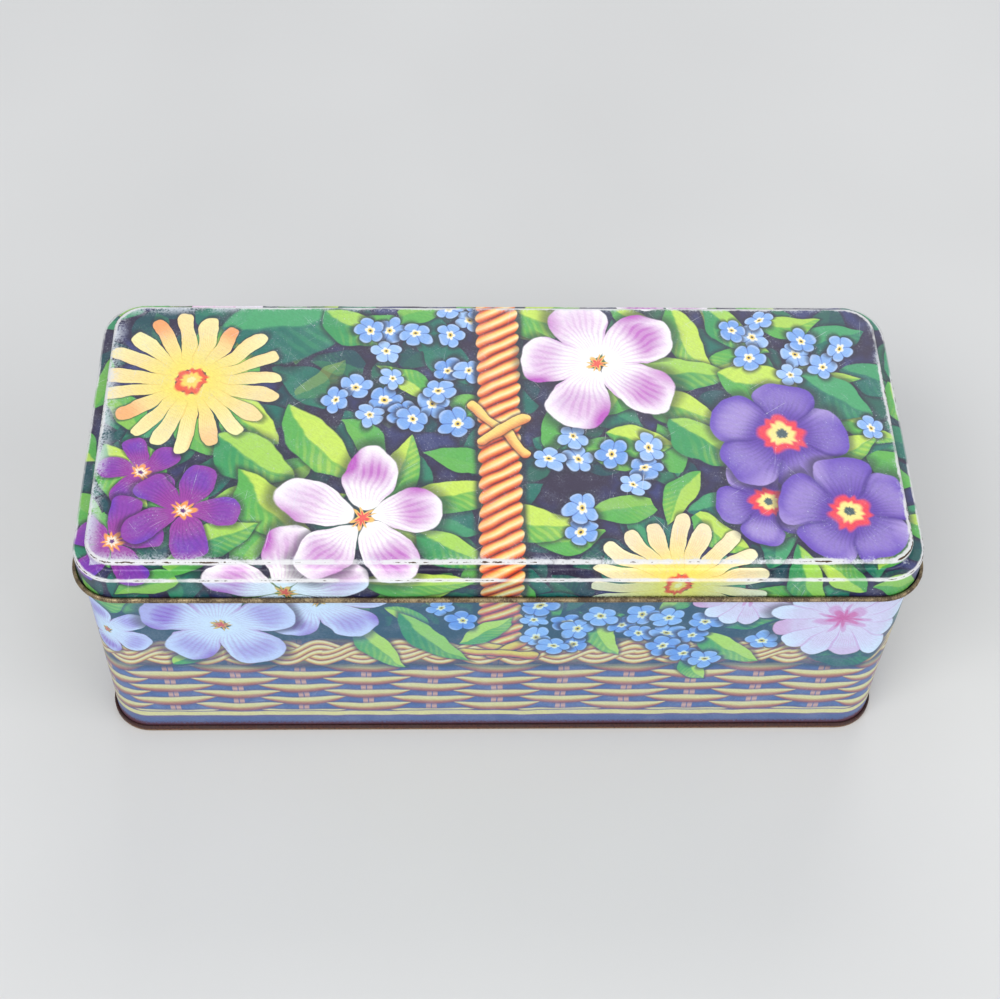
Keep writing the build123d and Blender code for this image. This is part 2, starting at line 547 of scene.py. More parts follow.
class Paint:
    """Adds nodes to one shader tree, so that a formula can be written as a formula."""

    def __init__(self, tree):
        self.tree = tree

    def node(self, kind, inputs=None, **settings):
        made = self.tree.nodes.new("ShaderNode" + kind)
        for setting, value in settings.items():
            setattr(made, setting, value)
        for place, value in (inputs or {}).items():
            self.feed(made.inputs[place], value)
        return made

    def feed(self, socket, value):
        if isinstance(value, Num):
            value = value.socket
        if isinstance(value, bpy.types.NodeSocket):
            self.tree.links.new(value, socket)
        else:
            socket.default_value = value

    def math(self, operation, *values):
        made = self.node("Math", dict(enumerate(values)), operation=operation)
        return Num(self, made.outputs[0])

    def sin(self, value):
        return self.math("SINE", value)

    def cos(self, value):
        return self.math("COSINE", value)

    def most(self, one, other):
        return self.math("MAXIMUM", one, other)

    def least(self, one, other):
        return self.math("MINIMUM", one, other)

    def fraction(self, value):
        return self.math("FRACT", value)

    def ramp(self, value, start, end):
        """0 at `start`, 1 at `end` and smooth between; start may be the larger."""
        made = self.node("MapRange", {0: value, 1: start, 2: end}, interpolation_type="SMOOTHSTEP")
        return Num(self, made.outputs[0])

    def mix(self, share, under, over, blend="MIX"):
        made = self.node("Mix", {0: share, 6: under, 7: over}, data_type="RGBA", blend_type=blend)
        return made.outputs[2]

    def split(self, vector):
        made = self.node("SeparateXYZ", {0: vector})
        return [Num(self, socket) for socket in made.outputs]

    def join(self, x, y, z=0.0):
        return self.node("CombineXYZ", {0: x, 1: y, 2: z}).outputs[0]

    def vector(self, operation, one, other):
        return self.node("VectorMath", {0: one, 1: other}, operation=operation).outputs[0]

    def scaled(self, vector, share):
        return self.node("VectorMath", {0: vector, "Scale": share}, operation="SCALE").outputs[0]

    def dot(self, one, other):
        made = self.node("VectorMath", {0: one, 1: other}, operation="DOT_PRODUCT")
        return Num(self, made.outputs["Value"])

    def length(self, vector):
        return Num(self, self.node("VectorMath", {0: vector}, operation="LENGTH").outputs["Value"])

    def noise(self, vector, scale, detail=2.0, roughness=0.5):
        """2-D noise as (number around 0.5, colour)."""
        settings = {"Vector": vector, "Scale": scale, "Detail": detail, "Roughness": roughness}
        made = self.node("TexNoise", settings, noise_dimensions="2D")
        return Num(self, made.outputs[0]), made.outputs[1]

    def cells(self, vector, scatter=1.0):
        """2-D Voronoi cells of unit size as (distance, random colour, cell's middle)."""
        made = self.node("TexVoronoi", {"Vector": vector, "Scale": 1.0, "Randomness": scatter},
                         voronoi_dimensions="2D")
        return Num(self, made.outputs["Distance"]), made.outputs["Color"], made.outputs["Position"]

    def local(self, place, centre, turn, size):
        """Coordinates in a mark's own frame, where the mark is about one unit in size."""
        made = self.node("Mapping", {0: place, 1: centre, 2: turn, 3: size}, vector_type="TEXTURE")
        return made.outputs[0]

    def from_local(self, spot, centre, turn, size):
        """The opposite of local()."""
        made = self.node("Mapping", {0: spot, 1: centre, 2: turn, 3: size}, vector_type="POINT")
        return made.outputs[0]

    def grey(self, level):
        """A grey of the given level."""
        return self.node("CombineColor", {0: level, 1: level, 2: level}).outputs[0]

    def after(self, place, under):
        """The same place, tied to the colour below it by a vanishing amount.

        It makes the renderer work out one mark after another, which keeps a long picture within its memory.
        """
        made = self.node("VectorMath", {0: under, 1: (1e-7, 1e-7, 1e-7), 2: place}, operation="MULTIPLY_ADD")
        return made.outputs[0]

    def map_of(self, name):
        return self.node("UVMap", uv_map=name).outputs[0]


def new_group(name, colours, vectors, numbers):
    """A node group with a colour output. Returns its painter and its input sockets by name.

    The inputs are named in three strings. A number's input is 0 until it is given.
    """
    tree = bpy.data.node_groups.new(name, "ShaderNodeTree")
    for kind, titles in (("Color", colours), ("Vector", vectors), ("Float", numbers)):
        for title in titles.split():
            tree.interface.new_socket(title, in_out="INPUT", socket_type="NodeSocket" + kind)
    tree.interface.new_socket("Colour", in_out="OUTPUT", socket_type="NodeSocketColor")
    entry = tree.nodes.new("NodeGroupInput")
    paint = Paint(tree)
    given = {}
    for socket in entry.outputs[:-1]:
        given[socket.name] = Num(paint, socket) if socket.type == "VALUE" else socket
    return paint, given


def close_group(paint, colour):
    leaving = paint.tree.nodes.new("NodeGroupOutput")
    paint.feed(leaving.inputs["Colour"], colour)
    return paint.tree


def stamp(paint, group, **inputs):
    """One use of a node group."""
    return paint.node("Group", inputs, node_tree=group).outputs["Colour"]


# ---------------------------------------------------------------- printed marks

INK = tint(38, 34, 56)


def make_leaf_group():
    """A pointed leaf along local x, one half lighter, with a midrib, faint veins and a dark outline."""
    paint, given = new_group("leaf", "Under Light Dark", "Local", "Slender Shown")
    x, y, _ = paint.split(given["Local"])
    bow = y - 0.16 * x * x
    across = abs(bow) / given["Slender"]
    edge = paint.most(across * (1 + 0.25 * x) + x * x, x * x)
    inside = paint.ramp(edge, 1.0, 0.93)
    halo = paint.ramp(edge, 1.35, 0.95)
    halves = paint.ramp(bow, -0.04, 0.08)
    veins = abs(paint.sin((x - across * 0.5) * 15))
    tone = halves * 0.6 + paint.ramp(x, -0.9, 0.7) * 0.35 + paint.ramp(veins, 0.5, 1.0) * 0.12 \
        - paint.ramp(edge, 0.7, 1.0) * 0.12
    leaf = paint.mix(paint.ramp(tone, 0.12, 0.72), given["Dark"], given["Light"])
    rib = paint.ramp(across, 0.09, 0.03) * 0.55
    leaf = paint.mix(rib, leaf, given["Dark"])
    shade = paint.mix(halo * given["Shown"] * 0.75, given["Under"], INK)
    return close_group(paint, paint.mix(inside * given["Shown"], shade, leaf))


def make_bloom_group():
    """A round of petals with an eye; its inputs turn it into a daisy, an open bloom or a pansy."""
    paint, given = new_group(
        "bloom",
        "Under Inner Outer Blush Vein Ring Eye Core",
        "Place Centre Turn Size",
        "Petals Middle Length Width Bluntness Blushing Tips Veining Eye_size Rays",
    )
    spot = paint.local(given["Place"], given["Centre"], given["Turn"], given["Size"])
    x, y, _ = paint.split(spot)
    radius = paint.length(spot)
    angle = paint.math("ARCTAN2", y, x)
    sector = angle * given["Petals"] / (2 * math.pi)
    number = paint.math("ROUND", sector)
    own = sector - number
    middle_x, _, _ = paint.split(given["Centre"])
    dice = paint.node("TexWhiteNoise", {0: paint.join(number, middle_x)}, noise_dimensions="2D").outputs[1]
    lean, growth, mood = paint.split(dice)
    swing = (own + (lean - 0.5) * 0.12) * (2 * math.pi) / given["Petals"]
    reach = radius * paint.cos(swing) / (0.92 + growth * 0.16)
    offset = radius * paint.sin(swing)
    widening = given["Width"] * (0.62 + reach * 0.62)
    edge = (abs(reach - given["Middle"]) / given["Length"]) ** given["Bluntness"] \
        + (abs(offset) / widening) ** given["Bluntness"]
    petal = paint.ramp(edge, 1.03, 0.93)
    halo = paint.ramp(edge, 1.9, 1.0)

    colour = paint.mix(paint.ramp(reach, 0.15, 0.85), given["Inner"], given["Outer"])
    streak = paint.ramp(abs(paint.sin(own * 31 + mood * 4)), 0.6, 1.0)
    patch = paint.ramp(edge, 0.9, 0.1) * paint.ramp(reach, 0.34, 0.66) * (0.8 + streak * 0.2)
    one_side = paint.ramp(offset / widening, 0.1, 1.0) * paint.ramp(reach, 0.3, 0.8)
    blush = paint.most(patch * (0.25 + mood * 0.75), one_side * lean * 1.3) * given["Blushing"]
    tips = given["Tips"] * paint.ramp(reach, 0.5, 0.9) * mood ** 3
    colour = paint.mix(paint.most(blush, tips), colour, given["Blush"])
    reach_of_vein = paint.ramp(reach, 0.95, 0.45) * paint.ramp(reach, 0.16, 0.3)
    colour = paint.mix(streak * reach_of_vein * given["Veining"], colour, given["Vein"])
    crease = paint.ramp(abs(own), 0.42, 0.5) * paint.ramp(reach, 0.22, 0.42) * 0.6
    colour = paint.mix(crease, colour, given["Vein"])

    shade = paint.mix(halo * 0.7, given["Under"], INK)
    flower = paint.mix(petal, shade, colour)
    wandering = angle * 9 + paint.sin(angle * 4 + middle_x) * 1.4
    star = radius / given["Eye_size"] / (1 + given["Rays"] * paint.sin(wandering))
    flower = paint.mix(paint.ramp(star, 1.05, 0.8), flower, given["Ring"])
    flower = paint.mix(paint.ramp(star, 0.66, 0.44), flower, given["Eye"])
    flower = paint.mix(paint.ramp(star, 0.3, 0.18), flower, given["Core"])
    return close_group(paint, flower)


def make_posy_group():
    """A small round five-lobed blue flower."""
    paint, given = new_group("posy", "Under", "Place Centre Turn Size", "Mood")
    spot = paint.local(given["Place"], given["Centre"], given["Turn"], given["Size"])
    x, y, _ = paint.split(spot)
    radius = paint.length(spot)
    angle = paint.math("ARCTAN2", y, x)
    lobe = abs(paint.cos(angle * 2.5))
    edge = radius / (0.66 + 0.36 * lobe ** 0.6)
    petal = paint.ramp(edge, 1.02, 0.93)
    halo = paint.ramp(edge, 1.45, 1.0) * 0.8
    blue = paint.mix(given["Mood"], tint(112, 160, 226), tint(164, 200, 244))
    blue = paint.mix(paint.ramp(lobe, 0.3, 0.0) * 0.75, blue, tint(72, 104, 190))
    blue = paint.mix(paint.ramp(radius, 0.75, 0.98) * 0.5, blue, tint(204, 222, 248))
    star = radius / (0.75 + 0.4 * lobe)
    blue = paint.mix(paint.ramp(star, 0.34, 0.26), blue, tint(246, 244, 226))
    blue = paint.mix(paint.ramp(radius, 0.2, 0.14), blue, tint(240, 210, 110))
    blue = paint.mix(paint.ramp(radius, 0.1, 0.06), blue, tint(60, 50, 60))
    shade = paint.mix(halo, given["Under"], INK)
    return close_group(paint, paint.mix(petal, shade, blue))


CORD_HALF_WIDTH = 2.0


def make_cord_group():
    """A rounded strand from one point to another."""
    paint, given = new_group("cord", "Under", "Place Start Run", "")
    way = paint.vector("SUBTRACT", given["Place"], given["Start"])
    share = paint.dot(way, given["Run"]) / paint.dot(given["Run"], given["Run"])
    share = paint.least(paint.most(share, 0.0), 1.0)
    beside = paint.vector("SUBTRACT", way, paint.scaled(given["Run"], share))
    away = paint.length(beside) / CORD_HALF_WIDTH
    _, height, _ = paint.split(beside)
    body = paint.ramp(height / CORD_HALF_WIDTH, -0.9, 0.3)
    strand = paint.mix(body, tint(214, 104, 62), tint(250, 216, 120))
    shade = paint.mix(paint.ramp(away, 1.6, 1.0) * 0.85, given["Under"], tint(66, 34, 42))
    return close_group(paint, paint.mix(paint.ramp(away, 1.0, 0.86), shade, strand))


LEAF = make_leaf_group()
BLOOM = make_bloom_group()
POSY = make_posy_group()
CORD = make_cord_group()

# Kinds of flower, as the bloom group's inputs
DAISY = dict(
    Petals=19, Middle=0.58, Length=0.42, Width=0.09, Bluntness=3.4,
    Inner=tint(246, 226, 104), Outer=tint(246, 238, 172), Blush=tint(246, 146, 84), Blushing=0.3, Tips=1.0,
    Vein=tint(232, 190, 90), Veining=0.35,
    Ring=tint(236, 92, 62), Eye=tint(248, 214, 96), Core=tint(250, 236, 160), Eye_size=0.19, Rays=0.12,
)
PALE_DAISY = dict(DAISY, Outer=tint(248, 242, 196), Tips=0.25)
OPEN_BLOOM = dict(
    Petals=5, Middle=0.55, Length=0.46, Width=0.37, Bluntness=2.2,
    Inner=tint(252, 248, 246), Outer=tint(250, 242, 248), Blush=tint(188, 84, 188), Blushing=1.0,
    Vein=tint(196, 126, 200), Veining=0.25,
    Ring=tint(246, 196, 108), Eye=tint(236, 84, 80), Core=tint(240, 100, 84), Eye_size=0.11, Rays=0.45,
)
STAR_BLOOM = dict(OPEN_BLOOM, Width=0.31, Bluntness=1.9, Blushing=1.2)
PANSY = dict(
    Petals=5, Middle=0.54, Length=0.48, Width=0.48, Bluntness=2.4,
    Inner=tint(98, 62, 166), Outer=tint(108, 78, 184), Blush=tint(176, 156, 216), Blushing=0.95,
    Vein=tint(66, 40, 132), Veining=0.3,
    Ring=tint(238, 64, 84), Eye=tint(252, 232, 140), Core=tint(66, 90, 90), Eye_size=0.35, Rays=0.1,
)
VIOLET = dict(
    Petals=5, Middle=0.56, Length=0.44, Width=0.29, Bluntness=2.6,
    Inner=tint(158, 62, 160), Outer=tint(144, 60, 164), Blush=tint(88, 60, 190), Blushing=0.6,
    Vein=tint(96, 34, 122), Veining=0.35,
    Ring=tint(244, 158, 84), Eye=tint(250, 232, 206), Core=tint(104, 50, 120), Eye_size=0.19, Rays=0.25,
)
LILAC_BLOOM = dict(
    OPEN_BLOOM, Width=0.36, Tips=0.5,
    Inner=tint(238, 240, 252), Outer=tint(226, 226, 250), Blush=tint(156, 108, 206),
)
ROSY_BLOOM = dict(
    Petals=13, Middle=0.5, Length=0.5, Width=0.24, Bluntness=2.0,
    Inner=tint(250, 226, 240), Outer=tint(246, 242, 252), Blush=tint(236, 130, 192), Blushing=0.4, Tips=0.7,
    Vein=tint(230, 160, 210), Veining=0.4,
    Ring=tint(240, 176, 214), Eye=tint(236, 120, 176), Core=tint(230, 96, 160), Eye_size=0.3, Rays=0.35,
)

# Kinds of leaf, as (light half, dark half)
BRIGHT = (tint(198, 226, 90), tint(90, 174, 80))
FRESH = (tint(166, 212, 88), tint(56, 152, 90))
TEAL = (tint(72, 164, 108), tint(28, 108, 96))
DEEP = (tint(46, 118, 88), tint(28, 74, 84))


def add_round_mark(paint, group, under, place, x, y, size, turn, **inputs):
    """A mark of a group that works in its own frame: a bloom or a posy."""
    return stamp(
        paint, group, Under=under, Place=paint.after(place, under), Centre=(x, y, 0),
        Turn=(0, 0, math.radians(turn)), Size=(size, size, 1), **inputs,
    )


def add_cord(paint, under, place, start, run):
    return stamp(
        paint, CORD, Under=under, Place=paint.after(place, under), Start=(*start, 0), Run=(*run, 0))


def add_leaf(paint, under, place, tints, x, y, size, turn, slender):
    spot = paint.local(paint.after(place, under), (x, y, 0), (0, 0, math.radians(turn)), (size, size, 1))
    light, dark = tints
    return stamp(paint, LEAF, Under=under, Local=spot, Slender=slender, Light=light, Dark=dark, Shown=1.0)


LEAF_REACH = 0.55      # of a scattered leaf, as a share of its cell


def scatter_leaves(paint, under, place, tints, cell, slender, seed, shown=None):
    """One leaf to a cell, each turned its own way."""
    frame_of_cells = ((seed * 7.3, seed * 3.9, 0), (0, 0, seed), (cell, cell, 1))
    spot = paint.local(paint.after(place, under), *frame_of_cells)
    _, dice, middle = paint.cells(spot, 0.6)
    lean, growth, mood = paint.split(dice)
    away = paint.vector("SUBTRACT", spot, middle)
    turned_away = paint.node("VectorRotate", {"Vector": away, "Angle": lean * 6.3}, rotation_type="Z_AXIS")
    local = paint.scaled(turned_away.outputs[0], 1 / LEAF_REACH)
    light = paint.mix(mood, tints[0], tints[1])
    visible = paint.ramp(growth, 0.12, 0.16)
    if shown is not None:
        visible = visible * shown(paint.from_local(middle, *frame_of_cells))
    return stamp(
        paint, LEAF, Under=under, Local=local, Slender=slender, Light=light, Dark=tints[1], Shown=visible)


POSY_AREA = 118.0        # of a cluster, for each flower in it
POSY_SIZES = (5.2, 6.3)
POSY_TURNS = (0, 72)     # a fifth of the way round, after which a flower looks the same
POSY_STRAY = 1.2
GOLDEN_ANGLE = math.pi * (3 - math.sqrt(5))


def posies(clusters):
    """Places, sizes, turns and moods of small flowers, in loose spirals that fill (x, y, radius) clusters."""
    made = []
    for x, y, radius in clusters:
        draw = random.Random(1000 * x + y)
        count = max(1, round(math.pi * radius * radius / POSY_AREA))
        for number in range(count):
            reach = 0.88 * radius * math.sqrt((number + 0.5) / count)
            angle = number * GOLDEN_ANGLE + x
            across = x + reach * math.cos(angle) + draw.uniform(-POSY_STRAY, POSY_STRAY)
            up = y + reach * math.sin(angle) + draw.uniform(-POSY_STRAY, POSY_STRAY)
            made.append((across, up, draw.uniform(*POSY_SIZES), draw.uniform(*POSY_TURNS), draw.random()))
    return made


# Colours across one wrap of the handle, as (share of the way over, red, green, blue)
ROPE_STOPS = (
    (0.0, 66, 24, 36), (0.13, 212, 66, 44), (0.28, 246, 146, 68), (0.48, 255, 236, 178), (0.7, 254, 208, 108),
    (0.88, 224, 88, 48), (1.0, 66, 24, 36),
)
ROPE_HALF_WIDTH = 7.6
ROPE_PITCH = 5.7
ROPE_SLANT = 0.6


def colour_stops(paint, value, stops):
    made = paint.node("ValToRGB", {0: value})
    elements = made.color_ramp.elements
    while len(elements) < len(stops):
        elements.new(1.0)
    for element, (share, *colour) in zip(elements, stops):
        element.position = share
        element.color = tint(*colour)
    return made.outputs[0]


def add_rope(paint, under, place, shown=1.0):
    """The basket's wound handle: slanting wraps between two scalloped edges."""
    x, y, _ = paint.split(paint.after(place, under))
    wrap = paint.fraction((y - ROPE_SLANT * x) / ROPE_PITCH)
    roundness = abs(wrap - 0.5)
    wraps = colour_stops(paint, wrap, ROPE_STOPS)
    side = paint.ramp(x, -1.0, -ROPE_HALF_WIDTH)
    wraps = paint.mix(side * 0.35, wraps, tint(226, 104, 66))
    edge = abs(x) + 6.0 * roundness * roundness
    shade = paint.mix(paint.ramp(abs(x), ROPE_HALF_WIDTH + 2.4, ROPE_HALF_WIDTH) * 0.9 * shown, under, INK)
    return paint.mix(paint.ramp(edge, ROPE_HALF_WIDTH, ROPE_HALF_WIDTH - 0.5) * shown, shade, wraps)


# ---------------------------------------------------------------- tiles of the picture

TILE_MARGIN = 4.5     # faces reach this far past their tile, with the waver of the drawing
MARK_REACH = 1.2      # of a mark with its shadow, as a share of its size


class Tile:
    """Part of a printed picture with a material of its own, which holds only the marks that reach it."""

    def __init__(self, name, x_range, y_range):
        self.name = name
        self.x_range = x_range
        self.y_range = y_range

    def reached(self, x, y, size):
        """True if a mark of this place and size can show inside the tile."""
        room = MARK_REACH * size + TILE_MARGIN
        across = self.x_range[0] - room < x < self.x_range[1] + room
        return across and self.y_range[0] - room < y < self.y_range[1] + room

    def holds(self, x, y):
        return self.x_range[0] <= x < self.x_range[1] and self.y_range[0] <= y < self.y_range[1]


def tile_grid(name, x_cuts, y_cuts):
    return [
        Tile(f"{name}_{column}_{row}", x_pair, y_pair)
        for column, x_pair in enumerate(zip(x_cuts, x_cuts[1:]))
        for row, y_pair in enumerate(zip(y_cuts, y_cuts[1:]))
    ]


def tile_number(tiles, x, y):
    return next(number for number, tile in enumerate(tiles) if tile.holds(x, y))


FAR = 1e4
LID_TILES = tile_grid("lid_picture", (-FAR, -90, -52, -12, 12, 52, 90, FAR), (-FAR, -28, 18, FAR))


# ---------------------------------------------------------------- the lid's print

# Marks on the lid: posies in (x, y, radius) clusters, leaves as (kind, x, y, size, turn, slenderness) and
# blooms as (kind, x, y, size, turn)
LID_POSIES = posies((
    (-44, 14, 15), (-24, 6, 11), (-36, 40, 12), (-13, 50, 12), (-17, 22, 10),
    (24, -10, 10), (44, -16, 13), (24, -40, 9), (88, 40, 12), (110, 33, 14), (130, 3, 6),
))
LID_LEAVES = (
    (TEAL, -72, 46, 26, 12, 0.62), (FRESH, -50, 44, 15, -30, 0.5), (BRIGHT, -86, 2, 15, -50, 0.6),
    (FRESH, -84, -14, 17, -35, 0.6), (BRIGHT, -62, -8, 21, -52, 0.42), (BRIGHT, -76, -36, 21, -48, 0.42),
    (BRIGHT, -34, -20, 18, 66, 0.38), (BRIGHT, -14, -29, 19, 8, 0.36), (FRESH, -92, -46, 14, 20, 0.5),
    (BRIGHT, -127, -22, 16, -60, 0.5), (FRESH, -17, -52, 15, -30, 0.45), (BRIGHT, 14, 49, 16, -24, 0.55),
    (BRIGHT, 66, 40, 17, -66, 0.42), (FRESH, 83, 44, 16, -48, 0.42), (FRESH, 64, 24, 19, -6, 0.42),
    (BRIGHT, 62, 9, 18, -24, 0.42), (BRIGHT, 92, 19, 17, -12, 0.6), (BRIGHT, 48, -6, 13, -8, 0.5),
    (FRESH, 72, -8, 20, -34, 0.42), (BRIGHT, 10, -40, 17, -12, 0.5), (BRIGHT, 118, -10, 13, 20, 0.5),
    (TEAL, 116, 14, 16, -40, 0.6), (FRESH, -72, -71, 20, 40, 0.4), (BRIGHT, -28, -66, 20, 0, 0.3),
    (FRESH, 100, -66, 17, -70, 0.34), (BRIGHT, 24, 64, 18, 30, 0.4),
)
LID_BLOOMS = (
    (VIOLET, -120, -18, 15, 30), (VIOLET, -126, -47, 18, 12), (VIOLET, -105, -34, 20, 70),
    (DAISY, -106, 21, 30, 4), (STAR_BLOOM, -70, -69, 27, 90), (STAR_BLOOM, -46, -38, 29, 86),
    (OPEN_BLOOM, 35, 30, 29, 37), (PALE_DAISY, 57, -66, 29, 10), (PANSY, 89, -31, 17, 40),
    (PANSY, 97, -3, 23, 80), (PANSY, 116, -35, 22, 20), (ROSY_BLOOM, -100, 78, 22, 0),
    (OPEN_BLOOM, 60, 76, 24, 20),
)


# The handle's cross binding, as (start, run)
LID_CORDS = (((-8.5, 10), (17, -20)), ((8.5, 5), (-14, -11)))

SLOW_WAVER = 4.5
QUICK_WAVER = 0.35
ROPE_WAVER = 0.4        # share of the waver that the handle follows
WICKER_WAVER = 0.35     # and the basket's side


def warped(paint, place):
    """Print coordinates with a hand-drawn waver."""
    _, slow = paint.noise(place, 0.07, 1.0)
    _, quick = paint.noise(place, 0.4, 1.0)
    waver = paint.vector("ADD", paint.scaled(slow, SLOW_WAVER), paint.scaled(quick, QUICK_WAVER))
    middle = (SLOW_WAVER + QUICK_WAVER) / 2
    flat = paint.vector("MULTIPLY", paint.vector("SUBTRACT", waver, (middle, middle, 0)), (1, 1, 0))
    return paint.vector("ADD", place, flat)


def steadied(paint, place, drawn, share):
    """Print coordinates with only a share of the waver."""
    return paint.vector("ADD", paint.scaled(place, 1 - share), paint.scaled(drawn, share))


def add_leaves(paint, colour, drawn, tile, leaves):
    for tints, x, y, size, turn, slender in leaves:
        if tile.reached(x, y, size):
            colour = add_leaf(paint, colour, drawn, tints, x, y, size, turn, slender)
    return colour


def add_posies(paint, colour, drawn, tile, made):
    for x, y, size, turn, mood in made:
        if tile.reached(x, y, size):
            colour = add_round_mark(paint, POSY, colour, drawn, x, y, size, turn, Mood=mood)
    return colour


def add_blooms(paint, colour, drawn, tile, blooms):
    for kind, x, y, size, turn in blooms:
        if tile.reached(x, y, size):
            colour = add_round_mark(paint, BLOOM, colour, drawn, x, y, size, turn, **kind)
    return colour


def lid_artwork(paint, place, tile):
    """Flowers and leaves in a basket, seen from above."""
    drawn = warped(paint, place)
    depth, _ = paint.noise(place, 0.06, 3.0)
    colour = paint.mix(paint.ramp(depth, 0.35, 0.7), tint(48, 38, 66), tint(54, 60, 112))
    for tints, cell, slender, seed in ((DEEP, 21, 0.6, 1.0), (TEAL, 25, 0.5, 2.3), (BRIGHT, 23, 0.42, 3.6)):
        colour = scatter_leaves(paint, colour, drawn, tints, cell, slender, seed)
    colour = add_leaves(paint, colour, drawn, tile, LID_LEAVES)
    colour = add_posies(paint, colour, drawn, tile, LID_POSIES)
    if tile.holds(0, tile.y_range[0]):
        colour = add_rope(paint, colour, steadied(paint, place, drawn, ROPE_WAVER))
        for start, run in LID_CORDS:
            colour = add_cord(paint, colour, drawn, start, run)
    return add_blooms(paint, colour, drawn, tile, LID_BLOOMS)


# ---------------------------------------------------------------- the wall's print

WALL_REPEAT = HALF_ROUND      # the picture is there twice, once round the front and once round the back
RIM_LOW = 45.0
RIM_HIGH = 61.0
LEAVES_FROM = 64.0            # scattered leaves have their middles above this height
ROPE_FOOT = 58.0
BRAID_PITCH = 27.0
BRAID_SWAY = 3.4
BRAID_HALF_WIDTH = 4.9
BARE_WICKER = 28.0            # below this height the basket's side is bare
WALL_COLUMNS = 10
WALL_CUTS = [WALL_REPEAT * (cut / WALL_COLUMNS - 0.5) for cut in range(WALL_COLUMNS + 1)]
WALL_TILES = tile_grid("wall_picture", WALL_CUTS, (BARE_WICKER, FAR))
WALL_TILES.append(Tile("wall_picture_low", (-FAR, FAR), (-FAR, BARE_WICKER)))

# Marks on the wall, as on the lid, with x = 0 at the middle of the front
WALL_POSIES = posies((
    (-16, 80, 9), (16, 74, 13), (24, 62, 10), (42, 74, 12), (60, 66, 14), (66, 52, 9), (88, 62, 6),
    (-176, 76, 12), (176, 72, 14),
))
WALL_LEAVES = (
    (BRIGHT, -104, 52, 11, 52, 0.42), (BRIGHT, -42, 56, 17, -62, 0.34), (FRESH, -24, 60, 20, -50, 0.3),
    (BRIGHT, -4, 66, 12, 40, 0.4), (BRIGHT, 34, 64, 15, -70, 0.4), (FRESH, 84, 74, 17, 8, 0.36),
    (BRIGHT, 78, 54, 16, -40, 0.4), (TEAL, 122, 50, 13, 10, 0.6), (BRIGHT, 68, 42, 9, -60, 0.5),
    (BRIGHT, 152, 60, 15, -60, 0.4), (FRESH, -150, 58, 16, -110, 0.4), (BRIGHT, -132, 84, 14, 20, 0.45),
)
WALL_BLOOMS = (
    (LILAC_BLOOM, -132, 66, 15, 40), (LILAC_BLOOM, -60, 86, 24, 20), (LILAC_BLOOM, -94, 71, 27, 17),
    (ROSY_BLOOM, 82, 88, 17, 0), (ROSY_BLOOM, 116, 74, 25, 30), (DAISY, 160, 86, 22, 0),
    (PANSY, -164, 88, 18, 60),
)
WALL_CORDS = (((-9, 62), (14, -10)), ((9, 60), (-12, -9)), ((-12, 54), (24, -3)))
STRAND_STOPS = (
    (0.0, 134, 88, 110), (0.2, 188, 112, 108), (0.4, 220, 160, 122), (0.56, 246, 218, 148),
    (0.88, 250, 226, 168), (1.0, 200, 162, 134),
)
BRAID_STOPS = (
    (0.0, 140, 78, 88), (0.14, 220, 142, 104), (0.4, 255, 212, 136), (0.7, 255, 238, 190),
    (0.9, 222, 160, 112), (1.0, 132, 76, 84),
)
COLUMN = 23.0
STRAND_HALF_LENGTH = 15.6     # longer than half a column, so that neighbours' ends interleave
ROW = 8.7
STRAND_HALF_HEIGHT = 0.31     # at its middle, as a share of a row
STAKE_OFFSET = 1.05           # of each stake of a pair from the column's middle
STRIP_HEIGHT = 11.8           # of the plain cane along the basket's foot


def make_weave_group():
    """One set of wicker columns: bowed strands, every other column half a row higher."""
    paint, given = new_group("weave", "Under", "Place", "Shift")
    x, y, _ = paint.split(given["Place"])
    column = paint.math("FLOOR", x / (2 * COLUMN) + given["Shift"])
    across = (x / (2 * COLUMN) + given["Shift"] - column - 0.5) * 2 * COLUMN
    bow = 1.3 - across * across * 0.011
    level = (y + bow) / ROW + given["Shift"]
    own = paint.fraction(level)
    taper = 1 - abs(across / STRAND_HALF_LENGTH) ** 3
    half = STRAND_HALF_HEIGHT * paint.most(taper, 0.02)
    from_middle = (own - 0.5) / half
    strand = colour_stops(paint, from_middle * 0.5 + 0.5, STRAND_STOPS)
    in_length = paint.ramp(abs(across), STRAND_HALF_LENGTH, STRAND_HALF_LENGTH - 0.5)
    inside = paint.ramp(abs(from_middle), 1.05, 0.9) * in_length
    shadow = paint.ramp(abs(from_middle), 1.6, 1.0) * in_length * 0.6
    shade = paint.mix(shadow, given["Under"], tint(108, 94, 136))
    return close_group(paint, paint.mix(inside, shade, strand))


WEAVE = make_weave_group()


def rim_braid(paint, x, y, under):
    """Two strands of three canes each, crossing over and under along the basket's rim."""
    swing = x * (2 * math.pi / BRAID_PITCH)
    sway = paint.sin(swing) * BRAID_SWAY
    rising = paint.ramp(paint.cos(swing), -0.08, 0.08)
    middle = (RIM_LOW + RIM_HIGH) / 2

    def strand(offset):
        """Colour and outline of one strand of the braid."""
        across = (y - offset - middle) / BRAID_HALF_WIDTH
        canes = colour_stops(paint, paint.fraction(across * 1.5 + 0.5), BRAID_STOPS)
        shaded = paint.mix(paint.ramp(abs(across), 0.7, 1.0) * 0.55, canes, tint(150, 90, 92))
        return shaded, paint.ramp(abs(across), 1.0, 0.93)

    first, first_share = strand(sway)
    second, second_share = strand(-1 * sway)
    colour = paint.mix(second_share, under, second)
    colour = paint.mix(first_share, colour, first)
    return paint.mix(second_share * (1 - rising), colour, second)


